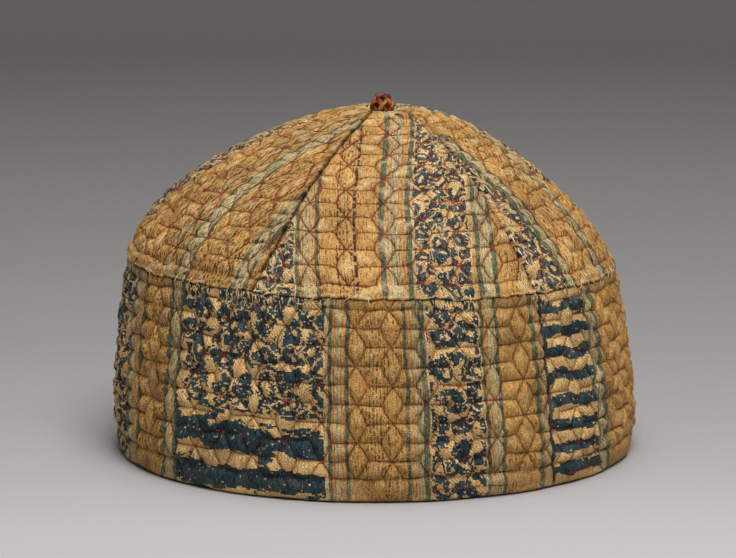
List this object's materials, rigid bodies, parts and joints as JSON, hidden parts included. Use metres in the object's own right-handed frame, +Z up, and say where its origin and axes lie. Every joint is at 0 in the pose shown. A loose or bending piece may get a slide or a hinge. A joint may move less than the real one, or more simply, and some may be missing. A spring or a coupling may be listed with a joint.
{
  "type": "quilted cap",
  "caption": "Domed quilted cap of striped silk: an upright padded band, a crown of padded gores and a knotted cord button on top.",
  "frame": {"origin": "middle of the rim's underside, on the surface that the cap rests on", "axes": "+Z up through the crown, -Y the side that faces the camera in the picture, +X its right"},
  "size_m": [0.1906, 0.1906, 0.1303],
  "materials": {
    "silk": "worn striped silk, quilted over wadding",
    "cord": "knotted silk cord with a slight sheen"
  },
  "bodies": {
    "root": {"band": "silk", "gore_1": "silk", "gore_2": "silk", "gore_3": "silk", "gore_4": "silk", "gore_5": "silk", "gore_6": "silk", "knot_button": "cord"}
  },
  "joints": []
}
